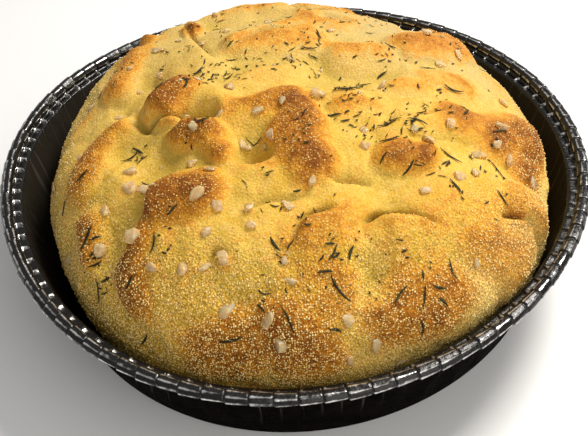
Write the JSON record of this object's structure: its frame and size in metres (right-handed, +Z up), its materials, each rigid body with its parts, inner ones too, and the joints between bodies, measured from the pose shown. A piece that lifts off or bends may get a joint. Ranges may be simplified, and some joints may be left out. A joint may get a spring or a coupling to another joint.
{
  "type": "focaccia in baking pan",
  "caption": "Round golden focaccia with a lumpy, dimpled crust, coarse salt and dried herbs, in a dark crimped disposable baking pan.",
  "frame": {"origin": "centre of the pan's flat underside", "axes": "+Z up out of the pan, -Y towards the loaf's front, +X to the loaf's right"},
  "size_m": [0.227, 0.237, 0.082],
  "materials": {
    "crust": "baked golden crust with browned peaks and a fine floury grain",
    "pan_foil": "black lacquered crimped foil, semi-gloss",
    "salt": "translucent coarse salt crystal",
    "herb": "dry dark green herb needle"
  },
  "bodies": {
    "root": {"herb_01": "herb", "herb_02": "herb", "herb_03": "herb", "herb_04": "herb", "herb_05": "herb", "herb_06": "herb", "herb_07": "herb", "herb_08": "herb", "herb_09": "herb", "herb_10": "herb", "herb_11": "herb", "herb_12": "herb", "herb_13": "herb", "herb_14": "herb", "herb_15": "herb", "herb_16": "herb", "herb_17": "herb", "herb_18": "herb", "herb_19": "herb", "herb_20": "herb", "herb_21": "herb", "herb_22": "herb", "loaf": "crust", "pan": "pan_foil", "salt_01": "salt", "salt_02": "salt", "salt_03": "salt", "salt_04": "salt", "salt_05": "salt", "salt_06": "salt", "salt_07": "salt", "salt_08": "salt", "salt_09": "salt", "salt_10": "salt", "salt_11": "salt", "salt_12": "salt", "salt_13": "salt", "salt_14": "salt", "salt_15": "salt", "salt_16": "salt", "salt_17": "salt", "salt_18": "salt", "salt_19": "salt", "salt_20": "salt", "salt_21": "salt", "salt_22": "salt", "salt_23": "salt", "salt_24": "salt", "salt_25": "salt", "salt_26": "salt", "salt_27": "salt", "salt_28": "salt", "salt_29": "salt", "salt_30": "salt", "salt_31": "salt", "salt_32": "salt", "salt_33": "salt", "salt_34": "salt", "salt_35": "salt"}
  },
  "joints": []
}
